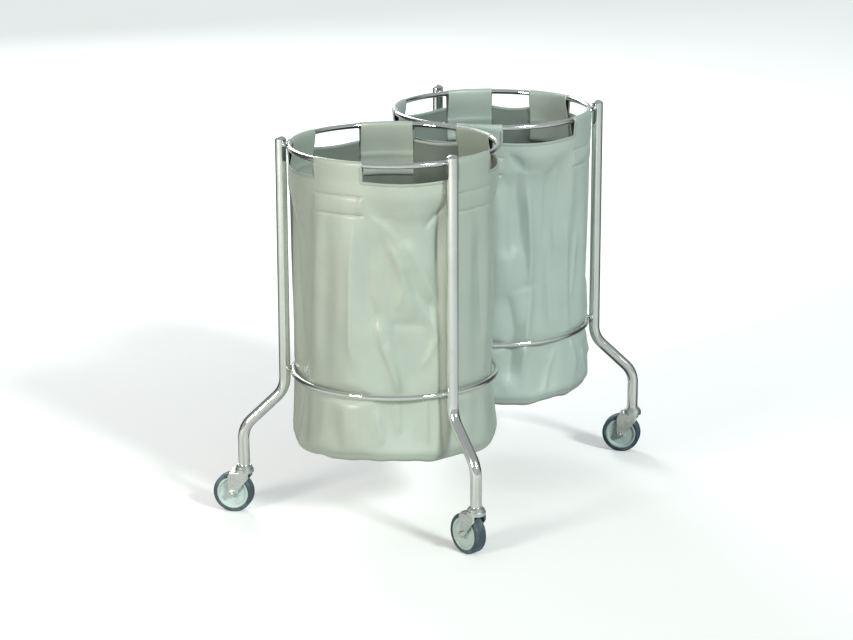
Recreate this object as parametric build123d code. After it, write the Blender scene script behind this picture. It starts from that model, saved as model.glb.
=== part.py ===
"""Double linen trolley: four bent tube legs welded round two pairs of hoops, two round
laundry bags hung inside the hoops, and a swivel caster pressed into each leg.

The origin is on the floor, midway between the four legs. +X runs along the pair of
hoops, +Z is up, and the rear of the trolley is +Y. All sizes are millimetres.
"""
import os
from math import asin, cos, radians, sin
from build123d import *

# Frame
HOOP_RADIUS = 225.0            # to the middle of the rod
ROD_RADIUS = 6.0
TOP_HOOP_HEIGHT = 835.0
LOWER_HOOP_HEIGHT = 332.0
TUBE_RADIUS = 12.5
TUBE_WALL = 1.5
LEG_ANGLE = 60.0               # each leg stands this far round from the long axis
LEG_SPLAY = 94.5               # the foot stands this far outside the post above it
UPPER_BEND_HEIGHT = 287.0
LOWER_BEND_HEIGHT = 198.0
BEND_RADIUS = 60.0
LEG_END_HEIGHT = 110.0
POST_ABOVE_HOOP = 14.0
HOOP_GAP = 0.4                 # between the two hoops where they nearly touch

# Weld beads and post caps
BEAD_RADIUS = 3.4
BEAD_OFFSET = 5.6              # a bead sits this far above or below the rod's middle
SEAM_BEAD_RADIUS = 4.4
CAP_DOME = 6.0
CAP_PLUG_LENGTH = 5.0
CAP_PLUG_CLEARANCE = 0.1

# Bags
CLOTH = 1.5
TAB_CLEARANCE = 0.4            # between the rod and the cloth folded over it
WINDOW_DEPTH = 35.0            # from the hoop down to the bag's upper edge
FLAP_DROP = 116.0              # from the hoop down to the inner flap's lower edge
BAG_TOP_RADIUS = 230.0         # just inside the posts
BAG_WAIST_RADIUS = 216.5       # just inside the lower hoop
BAG_WAIST_RISE = 60.0          # the wall is straight down to this far above the lower hoop
BAG_BELLY_RADIUS = 226.0       # where the load bulges out under the lower hoop
BAG_BELLY_HEIGHT = 272.0
BAG_FOOT_RADIUS = 221.0
BAG_FOOT_HEIGHT = 212.0
BAG_BASE_RADIUS = 208.0
BAG_BOTTOM = 187.0
TAB_ARCS = {                   # first and last angle round each hoop
    "left": ((18.5, 49.0), (82.0, 114.0), (163.0, 193.0), (245.0, 271.5), (318.0, 350.0)),
    "right": ((-25.0, 4.0), (28.0, 56.0), (95.5, 130.0), (187.0, 213.0), (261.0, 286.0)),
}

# Casters
WHEEL_RADIUS = 45.0
TYRE_HALF_WIDTH = 14.0
TYRE_SHOULDER = 4.5
HUB_RADIUS = 36.0
CASTER_TRAIL = 25.0
AXLE_RADIUS = 4.0
AXLE_CLEARANCE = 0.05
BUSH_RADIUS = 6.0
FORK_INNER = 16.5              # half the width inside the fork
FORK_PLATE = 2.5
CROWN_BOTTOM = 93.0
CROWN_TOP = 102.9
CROWN_RADIUS = 21.0
STEM_RADIUS = 5.5
PIN_RADIUS = 5.0
PIN_CLEARANCE = 0.1
SOCKET_LENGTH = 40.0
BALL_RADIUS = 2.2
BALL_COUNT = 12
BALL_RING_RADIUS = 13.0
BALL_HEIGHT = 104.05

HOOP_X = HOOP_RADIUS + ROD_RADIUS + HOOP_GAP / 2
POST_RADIUS = HOOP_RADIUS + ROD_RADIUS + TUBE_RADIUS
FORK_OUTER = FORK_INNER + FORK_PLATE
SIDES = {"left": -1, "right": 1}
ENDS = {"front": -1, "rear": 1}
REST_SWIVEL = {                # direction that each wheel trails in at rest
    "left_rear": 106.0,
    "left_front": 69.0,
    "right_front": 106.0,
    "right_rear": 90.0,
}


def save(name, *solids):
    """Write one node, whether it is one solid or a group of separate ones."""
    shape = solids[0] if len(solids) == 1 else Compound(children=list(solids))
    shape.label = name
    export_step(shape, f"parts/{name}.step")


def leg_direction(side, end):
    """Unit direction, seen from above, from a hoop's middle out to its leg."""
    turn = radians(LEG_ANGLE)
    return SIDES[side] * cos(turn), ENDS[end] * sin(turn)


def leg_point(side, end, radius, height):
    out_x, out_y = leg_direction(side, end)
    return SIDES[side] * HOOP_X + out_x * radius, out_y * radius, height


def leg_place(side, end):
    """The caster's own frame: on the floor under the leg, +X the way the wheel trails."""
    foot = leg_point(side, end, POST_RADIUS + LEG_SPLAY, 0)
    return Pos(*foot) * Rot(0, 0, REST_SWIVEL[f"{side}_{end}"])


def ring_profile(*points):
    """A closed profile of radius and height, turned into a solid round the Z axis."""
    face = make_face(Polyline(*[(r, 0, z) for r, z in points], close=True))
    return revolve(face, Axis.Z)


def leg_tube(side, end):
    post_top = TOP_HOOP_HEIGHT + POST_ABOVE_HOOP
    foot_radius = POST_RADIUS + LEG_SPLAY
    path = FilletPolyline(
        leg_point(side, end, POST_RADIUS, post_top),
        leg_point(side, end, POST_RADIUS, UPPER_BEND_HEIGHT),
        leg_point(side, end, foot_radius, LOWER_BEND_HEIGHT),
        leg_point(side, end, foot_radius, LEG_END_HEIGHT),
        radius=BEND_RADIUS,
    )
    section = Circle(TUBE_RADIUS) - Circle(TUBE_RADIUS - TUBE_WALL)
    return sweep(Plane(origin=path @ 0, z_dir=path % 0) * section, path=path)


def post_cap(side, end):
    """A domed cap with a plug that fits inside the tube."""
    plug = TUBE_RADIUS - TUBE_WALL - CAP_PLUG_CLEARANCE
    dome_radius = (TUBE_RADIUS**2 + CAP_DOME**2) / (2 * CAP_DOME)
    half_turn = asin(TUBE_RADIUS / dome_radius) / 2
    shoulder = (dome_radius * sin(half_turn), 0, CAP_DOME - dome_radius * (1 - cos(half_turn)))
    outline = [
        Line((0, 0, -CAP_PLUG_LENGTH), (plug, 0, -CAP_PLUG_LENGTH)),
        Line((plug, 0, -CAP_PLUG_LENGTH), (plug, 0, 0)),
        Line((plug, 0, 0), (TUBE_RADIUS, 0, 0)),
        ThreePointArc((TUBE_RADIUS, 0, 0), shoulder, (0, 0, CAP_DOME)),
        Line((0, 0, CAP_DOME), (0, 0, -CAP_PLUG_LENGTH)),
    ]
    cap = revolve(make_face(outline), Axis.Z)
    return Pos(*leg_point(side, end, POST_RADIUS, TOP_HOOP_HEIGHT + POST_ABOVE_HOOP)) * cap


def hoop(side, height):
    return Pos(SIDES[side] * HOOP_X, 0, height) * Torus(HOOP_RADIUS, ROD_RADIUS)


def weld_beads():
    """Small beads above and below each joint, along the rod."""
    beads = []
    for height in (TOP_HOOP_HEIGHT, LOWER_HOOP_HEIGHT):
        for offset in (-BEAD_OFFSET, BEAD_OFFSET):
            beads.append(Pos(0, 0, height + offset * 0.7) * Sphere(SEAM_BEAD_RADIUS))
            for side in SIDES:
                for end in ENDS:
                    touch = leg_point(side, end, HOOP_RADIUS + ROD_RADIUS, height + offset * 0.8)
                    beads.append(Pos(*touch) * Sphere(BEAD_RADIUS))
    return beads


def bag_wall(side):
    """The bag's round wall, from the tabs down to the seam round its base."""
    top = TOP_HOOP_HEIGHT - WINDOW_DEPTH
    def profile(inset):
        rim = (BAG_TOP_RADIUS - inset, 0, top)
        waist = (BAG_WAIST_RADIUS - inset, 0, LOWER_HOOP_HEIGHT + BAG_WAIST_RISE)
        side_line = Line(rim, waist)
        sack = Spline(
            waist,
            (BAG_WAIST_RADIUS - inset, 0, LOWER_HOOP_HEIGHT),
            (BAG_BELLY_RADIUS - inset, 0, BAG_BELLY_HEIGHT),
            (BAG_FOOT_RADIUS - inset, 0, BAG_FOOT_HEIGHT),
            (BAG_BASE_RADIUS, 0, BAG_BOTTOM + inset),
            tangents=[side_line % 1, (-1, 0, 0)],
        )
        return side_line, sack

    outer_side, outer_sack = profile(0)
    inner_side, inner_sack = profile(CLOTH)
    outline = [
        outer_side,
        outer_sack,
        Line(outer_sack @ 1, inner_sack @ 1),
        inner_sack,
        inner_side,
        Line(inner_side @ 0, outer_side @ 0),
    ]
    return Pos(SIDES[side] * HOOP_X, 0, 0) * revolve(make_face(outline), Axis.Z)


def bag_base(side):
    place = Pos(SIDES[side] * HOOP_X, 0, BAG_BOTTOM + CLOTH / 2)
    return place * Cylinder(BAG_BASE_RADIUS, CLOTH)


def bag_tabs(side):
    """Tabs of the wall's cloth that pass outside the top hoop, over it and down inside."""
    high = TOP_HOOP_HEIGHT
    near = ROD_RADIUS + TAB_CLEARANCE
    far = near + CLOTH
    low = high - WINDOW_DEPTH
    end = high - FLAP_DROP
    middle = HOOP_RADIUS
    outline = [
        Line((BAG_TOP_RADIUS, 0, low), (middle + far, 0, high)),
        ThreePointArc((middle + far, 0, high), (middle, 0, high + far), (middle - far, 0, high)),
        Line((middle - far, 0, high), (middle - far, 0, end)),
        Line((middle - far, 0, end), (middle - near, 0, end)),
        Line((middle - near, 0, end), (middle - near, 0, high)),
        ThreePointArc((middle - near, 0, high), (middle, 0, high + near), (middle + near, 0, high)),
        Line((middle + near, 0, high), (BAG_TOP_RADIUS - CLOTH, 0, low)),
        Line((BAG_TOP_RADIUS - CLOTH, 0, low), (BAG_TOP_RADIUS, 0, low)),
    ]
    face = make_face(outline)
    tabs = []
    for first, last in TAB_ARCS[side]:
        turned = Rot(0, 0, first) * revolve(face, Axis.Z, last - first)
        tabs.append(Pos(SIDES[side] * HOOP_X, 0, 0) * turned)
    return tabs


def stem_socket():
    """Sleeve pressed into the tube's end, which grips the caster's stem."""
    outer = TUBE_RADIUS - TUBE_WALL - CAP_PLUG_CLEARANCE
    inner = STEM_RADIUS + AXLE_CLEARANCE
    bottom = LEG_END_HEIGHT + 1
    return ring_profile(
        (inner, bottom), (outer, bottom), (outer, bottom + SOCKET_LENGTH), (inner, bottom + SOCKET_LENGTH)
    )


def swivel_stem():
    """Stem with a shoulder, a swivel pin under it and a riveted head."""
    head_radius = 8.0
    head_top = CROWN_BOTTOM - 0.4
    head_bottom = head_top - 2.2
    return ring_profile(
        (0, head_bottom),
        (head_radius - 1.5, head_bottom),
        (head_radius, head_top - 0.8),
        (head_radius, head_top),
        (PIN_RADIUS, head_top),
        (PIN_RADIUS, LEG_END_HEIGHT),
        (STEM_RADIUS, LEG_END_HEIGHT),
        (STEM_RADIUS, LEG_END_HEIGHT + SOCKET_LENGTH - 2),
        (STEM_RADIUS - 1, LEG_END_HEIGHT + SOCKET_LENGTH),
        (0, LEG_END_HEIGHT + SOCKET_LENGTH),
    )


def swivel_cap():
    """Fixed upper race and dust cap, which carries the tube on the balls."""
    bottom = CROWN_TOP + 0.5
    top = LEG_END_HEIGHT - 0.1
    groove_top = BALL_HEIGHT + BALL_RADIUS + 0.1
    groove_inner = BALL_RING_RADIUS - BALL_RADIUS - 0.3
    groove_outer = BALL_RING_RADIUS + BALL_RADIUS + 0.3
    return ring_profile(
        (PIN_RADIUS + AXLE_CLEARANCE, bottom),
        (groove_inner, bottom),
        (groove_inner, groove_top),
        (groove_outer, groove_top),
        (groove_outer, bottom),
        (19.0, bottom),
        (18.6, bottom + 2.2),
        (14.6, top),
        (PIN_RADIUS + AXLE_CLEARANCE, top),
    )


def ball_ring():
    ring = []
    for index in range(BALL_COUNT):
        turn = Rot(0, 0, 360 * index / BALL_COUNT)
        ring.append(turn * Pos(BALL_RING_RADIUS, 0, BALL_HEIGHT) * Sphere(BALL_RADIUS))
    return ring


def fork():
    """Pressed fork: a round crown with the lower race, and two tapering side plates."""
    saddle_top = CROWN_BOTTOM + 3.5
    saddle_rear = CASTER_TRAIL + 9.0
    tongue = 8.5
    bottom = WHEEL_RADIUS - tongue
    width = 2 * FORK_OUTER
    depth = saddle_top - bottom
    across = Pos(0, saddle_top - depth / 2) * RectangleRounded(width, depth, 5.0)
    across -= Pos(0, CROWN_BOTTOM - depth / 2) * RectangleRounded(2 * FORK_INNER, depth, 2.5)
    channel = extrude(Plane.YZ * across, amount=saddle_rear + CROWN_RADIUS, both=True)

    edge = [
        Line((-CROWN_RADIUS, 0, saddle_top), (-CROWN_RADIUS, 0, CROWN_BOTTOM - 2)),
        Spline(
            (-CROWN_RADIUS, 0, CROWN_BOTTOM - 2),
            (-8.0, 0, 75.0),
            (8.0, 0, 56.0),
            (CASTER_TRAIL - tongue, 0, WHEEL_RADIUS),
        ),
        ThreePointArc(
            (CASTER_TRAIL - tongue, 0, WHEEL_RADIUS),
            (CASTER_TRAIL, 0, WHEEL_RADIUS - tongue),
            (CASTER_TRAIL + tongue, 0, WHEEL_RADIUS),
        ),
        Line((CASTER_TRAIL + tongue, 0, WHEEL_RADIUS), (saddle_rear, 0, CROWN_BOTTOM - 8)),
        Line((saddle_rear, 0, CROWN_BOTTOM - 8), (saddle_rear - 6, 0, saddle_top)),
        Line((saddle_rear - 6, 0, saddle_top), (-CROWN_RADIUS, 0, saddle_top)),
    ]
    side_view = extrude(make_face(edge), amount=FORK_OUTER + 1, dir=(0, 1, 0), both=True)
    plan = Circle(CROWN_RADIUS) + Pos(saddle_rear / 2, 0) * Rectangle(saddle_rear, width)
    body = channel & side_view & extrude(plan, amount=saddle_top)

    groove_floor = BALL_HEIGHT - BALL_RADIUS - 0.3
    groove_inner = BALL_RING_RADIUS - BALL_RADIUS - 0.3
    groove_outer = BALL_RING_RADIUS + BALL_RADIUS + 0.3
    body += ring_profile(
        (PIN_RADIUS, CROWN_BOTTOM),
        (CROWN_RADIUS, CROWN_BOTTOM),
        (CROWN_RADIUS, CROWN_TOP - 2),
        (CROWN_RADIUS - 1.5, CROWN_TOP),
        (groove_outer, CROWN_TOP),
        (groove_outer, groove_floor),
        (groove_inner, groove_floor),
        (groove_inner, CROWN_TOP),
        (PIN_RADIUS, CROWN_TOP),
    )
    body -= Pos(0, 0, CROWN_BOTTOM) * Cylinder(PIN_RADIUS + PIN_CLEARANCE, 40)
    return body - axle_rod(AXLE_RADIUS + AXLE_CLEARANCE, -width, width)


def axle_rod(radius, first, last):
    """A round bar on the wheel's axis, from one Y to another."""
    bar = Pos(0, 0, (first + last) / 2) * Cylinder(radius, last - first)
    return Pos(CASTER_TRAIL, 0, WHEEL_RADIUS) * Rot(-90, 0, 0) * bar


def axle_turned(*points):
    """A profile of radius and distance along the axle, turned round the wheel's axis."""
    return Pos(CASTER_TRAIL, 0, WHEEL_RADIUS) * Rot(-90, 0, 0) * ring_profile(*points)


def axle_bolt():
    head_radius = 6.5
    head_height = 3.2
    return axle_turned(
        (0, -FORK_OUTER - head_height),
        (head_radius - 2.2, -FORK_OUTER - head_height),
        (head_radius, -FORK_OUTER - head_height + 1.6),
        (head_radius, -FORK_OUTER),
        (AXLE_RADIUS, -FORK_OUTER),
        (AXLE_RADIUS, FORK_OUTER + 6),
        (AXLE_RADIUS - 0.8, FORK_OUTER + 6.8),
        (0, FORK_OUTER + 6.8),
    )


def axle_nut():
    nut_height = 5.5
    across_corners = 7.5
    hexagon = extrude(RegularPolygon(across_corners, 6), amount=nut_height)
    hole = Cylinder(AXLE_RADIUS + AXLE_CLEARANCE, 4 * nut_height)
    return Pos(CASTER_TRAIL, FORK_OUTER, WHEEL_RADIUS) * Rot(-90, 0, 0) * (hexagon - hole)


def wheel_hub():
    """Dished moulded wheel centre with a raised lip round each face."""
    half = [
        (BUSH_RADIUS, 14.0),
        (10.0, 14.0),
        (12.0, 9.5),
        (28.5, 10.0),
        (31.0, 13.0),
        (34.0, 14.0),
        (HUB_RADIUS, 13.2),
    ]
    other = [(radius, -along) for radius, along in reversed(half)]
    return axle_turned(*half, *other)


def wheel_bush():
    bore = AXLE_RADIUS + AXLE_CLEARANCE
    end = FORK_INNER - 0.3
    return axle_turned((bore, -end), (BUSH_RADIUS, -end), (BUSH_RADIUS, end), (bore, end))


def tyre():
    """Solid tyre with a flat tread and rounded shoulders."""
    half = TYRE_HALF_WIDTH
    band = Pos((HUB_RADIUS + WHEEL_RADIUS) / 2, 0) * Rectangle(WHEEL_RADIUS - HUB_RADIUS, 2 * half)
    outer_corners = band.vertices().filter_by(lambda corner: corner.X > HUB_RADIUS + 1)
    band = fillet(outer_corners, TYRE_SHOULDER)
    ring = revolve(Plane.XZ * band, Axis.Z)
    return Pos(CASTER_TRAIL, 0, WHEEL_RADIUS) * Rot(-90, 0, 0) * ring


def main():
    os.makedirs("parts", exist_ok=True)
    for side in SIDES:
        save(f"top_hoop_{side}", hoop(side, TOP_HOOP_HEIGHT))
        save(f"lower_hoop_{side}", hoop(side, LOWER_HOOP_HEIGHT))
        save(f"bag_wall_{side}", bag_wall(side))
        save(f"bag_base_{side}", bag_base(side))
        save(f"bag_tabs_{side}", *bag_tabs(side))
    save("weld_beads", *weld_beads())

    for side in SIDES:
        for end in ENDS:
            corner = f"{side}_{end}"
            place = leg_place(side, end)
            save(f"leg_{corner}", leg_tube(side, end))
            save(f"post_cap_{corner}", post_cap(side, end))
            save(f"stem_socket_{corner}", place * stem_socket())
            save(f"swivel_stem_{corner}", place * swivel_stem())
            save(f"swivel_cap_{corner}", place * swivel_cap())
            save(f"swivel_balls_{corner}", *[place * ball for ball in ball_ring()])
            save(f"fork_{corner}", place * fork())
            save(f"axle_bolt_{corner}", place * axle_bolt())
            save(f"axle_nut_{corner}", place * axle_nut())
            save(f"wheel_hub_{corner}", place * wheel_hub())
            save(f"wheel_bush_{corner}", place * wheel_bush())
            save(f"tyre_{corner}", place * tyre())


main()
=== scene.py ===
"""Double linen trolley: cloth bags, plated frame and casters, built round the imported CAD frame."""
from math import atan2, cos, degrees, hypot, pi, radians, sin

import bpy
import numpy as np
from bpy.props import FloatProperty, FloatVectorProperty, PointerProperty
from mathutils import Euler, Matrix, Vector, noise


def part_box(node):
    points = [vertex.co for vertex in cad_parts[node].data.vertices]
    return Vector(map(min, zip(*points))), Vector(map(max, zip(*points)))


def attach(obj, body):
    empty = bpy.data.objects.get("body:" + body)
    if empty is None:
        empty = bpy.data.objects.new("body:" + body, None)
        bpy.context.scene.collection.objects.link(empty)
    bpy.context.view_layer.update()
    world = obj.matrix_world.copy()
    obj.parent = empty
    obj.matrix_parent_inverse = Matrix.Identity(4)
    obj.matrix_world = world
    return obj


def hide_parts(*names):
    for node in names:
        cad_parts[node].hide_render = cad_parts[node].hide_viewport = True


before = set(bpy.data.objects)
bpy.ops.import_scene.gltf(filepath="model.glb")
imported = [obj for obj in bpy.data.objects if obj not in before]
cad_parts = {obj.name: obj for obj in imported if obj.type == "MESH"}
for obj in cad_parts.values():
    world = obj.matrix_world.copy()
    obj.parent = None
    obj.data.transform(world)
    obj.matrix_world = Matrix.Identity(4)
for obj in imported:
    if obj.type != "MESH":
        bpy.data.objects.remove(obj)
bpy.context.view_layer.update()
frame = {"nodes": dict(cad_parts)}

bl_info = {
    "name": "Double linen trolley",
    "version": (1, 0, 0),
    "blender": (4, 5, 0),
    "location": "3D View > Sidebar > Trolley",
    "description": "Builds the cloth bags, plated frame, casters and stage of a double linen trolley",
    "category": "Add Mesh",
}

SIDES = ("left", "right")
ENDS = ("front", "rear")
CORNERS = [f"{side}_{end}" for side in SIDES for end in ENDS]
FRAME_BODY = "frame"

# Hanging the trial sleeve of cloth.
HANG_FRAMES = 18
SLEEVE_ROWS = 64
SLEEVE_COLUMNS = 160
EDGE_HOLD = 0.35           # how firmly the cut-outs' lower edges are held, where 1 is fixed
SMOOTHING_PASSES = 3
SHIFT_SCALE = 1.25         # share of the sleeve's movement that the wall takes
SHIFT_LIMIT = 0.02         # most that the wall may move

# Cloth round the hoop and down inside it, in metres.
HOOP_CLEARANCE = 0.0004    # between the rod and the cloth
TAB_RISE = 0.035           # cloth between a cut-out's lower edge and the hoop
RISE_STEPS = 4
WRAP_STEPS = 10
FLAP_ROWS = 22
FLAP_LEAN = 0.066          # how far below the hoop a flap has come to lie along the wall
FLAP_GAP = 0.0005          # between a flap and the wall
WIDEST_COLUMN = 1.3        # degrees between two columns of one tab, at most

# Base panel, in metres.
BASE_LIFT = 0.0005         # from the bag's lowest line up to the base's edge
BASE_RINGS = 26
BASE_SPOKES = 120
BASE_SAG = 0.004
DENT_DEPTH = 0.003
DENT_SCALE = 4
DENT_SEED = 5.0

# Where the cloth folds, as (depth, half width, route). Depth is outwards in millimetres,
# half width is in millimetres, and a route is angle round the bag in degrees and height
# in millimetres.
BAG_FOLDS = {
    "left": (
        (3.5, 12, ((189, 727), (187, 628), (186, 452), (188, 383))),
        (5.0, 22, ((198, 725), (207, 664), (216, 590), (221, 491))),
        (-4.0, 18, ((196, 700), (195, 545), (202, 470))),
        (3.2, 6, ((200, 506), (202, 446), (208, 387), (212, 333))),
        (2.6, 5, ((204, 448), (210, 387), (213, 338))),
        (3.2, 6, ((226, 522), (232, 486), (234, 452), (230, 414), (225, 383))),
        (-4.0, 6, ((241, 748), (233, 720), (227, 698))),
        (-2.2, 10, ((208, 489), (230, 482))),
        (4.2, 13, ((215, 672), (226, 605), (235, 532))),
        (-3.2, 10, ((216, 615), (223, 555), (236, 510))),
        (2.2, 5, ((196, 730), (209, 684), (215, 640))),
        (2.0, 5, ((206, 668), (213, 612), (215, 570), (212, 515))),
        (1.8, 6, ((194, 786), (190, 726))),
        (-2.0, 6, ((270, 468), (284, 484), (298, 490))),
        (-2.4, 8, ((142, 216), (160, 180))),
        (-3.5, 9, ((236, 776), (236, 540), (237, 182))),
        (2.4, 6, ((211, 318), (212, 250))),
        (2.4, 7, ((228, 330), (227, 225))),
        (2.6, 8, ((199, 300), (203, 225))),
        (5.0, 24, ((292, 720), (299, 560), (298, 430))),
        (-3.0, 16, ((262, 690), (266, 420))),
        (-3.0, 12, ((136, 318), (133, 225))),
    ),
    "right": (
        (-7.0, 19, ((214, 735), (219, 640), (219, 530))),
        (-7.0, 18, ((216, 460), (221, 365), (217, 235))),
        (6.5, 15, ((229, 720), (232, 549), (232, 432), (228, 326), (225, 240))),
        (-2.5, 8, ((243, 735), (243, 560))),
        (-2.4, 6, ((216, 786), (221, 750), (231, 729))),
        (2.2, 7, ((281, 757), (260, 734))),
        (-1.8, 7, ((217, 458), (238, 466))),
        (2.4, 7, ((266, 576), (262, 414))),
        (2.6, 6, ((289, 452), (274, 331))),
        (2.5, 7, ((250, 745), (249, 540))),
        (-3.0, 10, ((219, 776), (226, 745))),
        (2.6, 8, ((256, 600), (260, 320))),
        (2.2, 8, ((243, 560), (246, 350))),
        (2.8, 6, ((250, 306), (240, 205))),
        (2.6, 6, ((262, 318), (267, 240))),
        (2.8, 7, ((272, 292), (280, 220))),
        (3.0, 7, ((296, 310), (286, 262))),
        (-3.0, 10, ((278, 640), (281, 380))),
    ),
}


# ---------------------------------------------------------------- properties

def colour_property(name, description, value):
    return FloatVectorProperty(
        name=name, description=description, default=value, subtype="COLOR", min=0.0, max=1.0
    )


def length_property(name, description, value):
    return FloatProperty(name=name, description=description, default=value, unit="LENGTH", min=0.0)


class TrolleyBagProperties(bpy.types.PropertyGroup):
    """The two cloth bags."""

    left_colour: colour_property("Left cloth", "Colour of the left bag", (0.41, 0.468, 0.405))
    right_colour: colour_property("Right cloth", "Colour of the right bag", (0.43, 0.505, 0.465))
    thread_colour: colour_property("Thread", "Colour of the stitching", (0.36, 0.40, 0.35))
    cloth: length_property("Cloth thickness", "Thickness of the coated cloth", 0.0012)
    flap: length_property("Flap length", "How far a tab hangs down inside the hoop", 0.116)
    upper_seam: length_property("Upper seam", "From the hoop down to a tab's upper seam", 0.068)
    lower_seam: length_property("Lower seam", "From the hoop down to a tab's lower seam", 0.108)
    binding: length_property("Binding width", "Width of the binding round each cut-out", 0.007)
    edge_sag: length_property("Edge sag", "How far a cut-out's lower edge sags", 0.005)
    stitch: length_property("Stitch length", "Length of one stitch", 0.0032)
    looseness: FloatProperty(
        name="Looseness", description="How much larger the cloth is than the frame", default=0.022, min=0.0
    )
    fold_depth: FloatProperty(
        name="Fold depth", description="Scale of every fold in the cloth", default=1.8, min=0.0
    )


class TrolleyFrameProperties(bpy.types.PropertyGroup):
    """The plated tube and rod."""

    chrome: colour_property("Chrome", "Colour of the plate", (0.86, 0.88, 0.85))
    roughness: FloatProperty(
        name="Roughness", description="Roughness of clean plate", default=0.07, min=0.0, max=1.0
    )


class TrolleyCasterProperties(bpy.types.PropertyGroup):
    """Forks, wheels and tyres."""

    zinc: colour_property("Zinc", "Colour of the fork's plate", (0.80, 0.83, 0.80))
    hub: colour_property("Wheel centre", "Colour of the moulded centre", (0.42, 0.51, 0.50))
    tyre: colour_property("Tyre", "Colour of the tyre", (0.036, 0.056, 0.07))


class TrolleyStageProperties(bpy.types.PropertyGroup):
    """Floor, light and camera."""

    floor: colour_property("Floor", "Colour of the floor", (0.92, 0.92, 0.92))
    azimuth: FloatProperty(
        name="Camera azimuth", description="0 looks along +Y", default=radians(-61.0), subtype="ANGLE"
    )
    elevation: FloatProperty(
        name="Camera elevation", description="Above the floor", default=radians(15.57), subtype="ANGLE"
    )
    roll: FloatProperty(name="Camera roll", description="Tilt", default=radians(-0.17), subtype="ANGLE")
    distance: length_property("Camera distance", "From camera to target", 5.70)
    target_height: length_property("Target height", "Height that the camera aims at", 0.385)
    aside: FloatProperty(
        name="Target offset", description="Target's offset to the left", default=0.042, unit="LENGTH"
    )
    lens: FloatProperty(name="Lens", description="Focal length in millimetres", default=105.3)


class TrolleyProperties(bpy.types.PropertyGroup):
    """Everything that a user would change."""

    bag: PointerProperty(type=TrolleyBagProperties)
    frame: PointerProperty(type=TrolleyFrameProperties)
    caster: PointerProperty(type=TrolleyCasterProperties)
    stage: PointerProperty(type=TrolleyStageProperties)


# ------------------------------------------------------------- node helpers

def node_group(name, inputs, outputs, build):
    """A shader node group, built once. Inputs are {name: default}, and None makes a vector."""
    if name in bpy.data.node_groups:
        return bpy.data.node_groups[name]
    group = bpy.data.node_groups.new(name, "ShaderNodeTree")
    for label, default in inputs.items():
        kind = "NodeSocketVector" if default is None else "NodeSocketFloat"
        socket = group.interface.new_socket(name=label, in_out="INPUT", socket_type=kind)
        if default is not None:
            socket.default_value = default
    for label in outputs:
        group.interface.new_socket(name=label, in_out="OUTPUT", socket_type="NodeSocketFloat")
    source = group.nodes.new("NodeGroupInput")
    sink = group.nodes.new("NodeGroupOutput")
    build(group, source, sink)
    return group


def join(tree, start, end):
    tree.links.new(start, end)


def math_node(tree, operation, first, second=None, clamp=False):
    node = tree.nodes.new("ShaderNodeMath")
    node.operation = operation
    node.use_clamp = clamp
    for index, value in enumerate((first, second)):
        if value is None:
            continue
        if isinstance(value, (int, float)):
            node.inputs[index].default_value = value
        else:
            join(tree, value, node.inputs[index])
    return node.outputs[0]


def noise_node(tree, vector, scale, detail=3.0, roughness=0.5):
    node = tree.nodes.new("ShaderNodeTexNoise")
    node.inputs["Detail"].default_value = detail
    node.inputs["Roughness"].default_value = roughness
    for socket, value in ((node.inputs["Scale"], scale), (node.inputs["Vector"], vector)):
        if isinstance(value, (int, float)):
            socket.default_value = value
        else:
            join(tree, value, socket)
    return node.outputs["Fac"]


def range_node(tree, value, low, high, out_low=0.0, out_high=1.0):
    node = tree.nodes.new("ShaderNodeMapRange")
    node.inputs["From Min"].default_value = low
    node.inputs["From Max"].default_value = high
    node.inputs["To Min"].default_value = out_low
    node.inputs["To Max"].default_value = out_high
    join(tree, value, node.inputs["Value"])
    return node.outputs["Result"]


def stretched(tree, vector, stretch, turn=(0.0, 0.0, 0.0)):
    node = tree.nodes.new("ShaderNodeMapping")
    node.inputs["Scale"].default_value = stretch
    node.inputs["Rotation"].default_value = turn
    join(tree, vector, node.inputs["Vector"])
    return node.outputs["Vector"]


def mixed(tree, factor, first, second):
    """Colour between first and second, which are colours or sockets."""
    node = tree.nodes.new("ShaderNodeMix")
    node.data_type = "RGBA"
    join(tree, factor, node.inputs["Factor"])
    for socket, value in ((node.inputs[6], first), (node.inputs[7], second)):
        if isinstance(value, bpy.types.NodeSocket):
            join(tree, value, socket)
        else:
            socket.default_value = (*value[:3], 1.0)
    return node.outputs[2]


def weave_group():
    """Twill: threads that cross at a slant."""

    def build(tree, source, sink):
        heights = []
        for turn in (radians(38), radians(-52)):
            slanted = stretched(tree, source.outputs["Vector"], (1, 1, 1), (0, 0, turn))
            threads = tree.nodes.new("ShaderNodeTexWave")
            threads.wave_profile = "SIN"
            threads.inputs["Distortion"].default_value = 0.6
            threads.inputs["Detail"].default_value = 1.0
            join(tree, slanted, threads.inputs["Vector"])
            join(tree, source.outputs["Scale"], threads.inputs["Scale"])
            heights.append(threads.outputs["Fac"])
        crossed = math_node(tree, "MULTIPLY", heights[0], heights[1])
        join(tree, crossed, sink.inputs["Height"])
        # Thread is 1 on the raised threads and 0 in the hollows. The cloth uses it for roughness and for
        # the painted shade in the hollows.
        join(tree, range_node(tree, crossed, 0.15, 0.6), sink.inputs["Thread"])

    return node_group("Twill weave", {"Vector": None, "Scale": 260.0}, ("Height", "Thread"), build)


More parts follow.
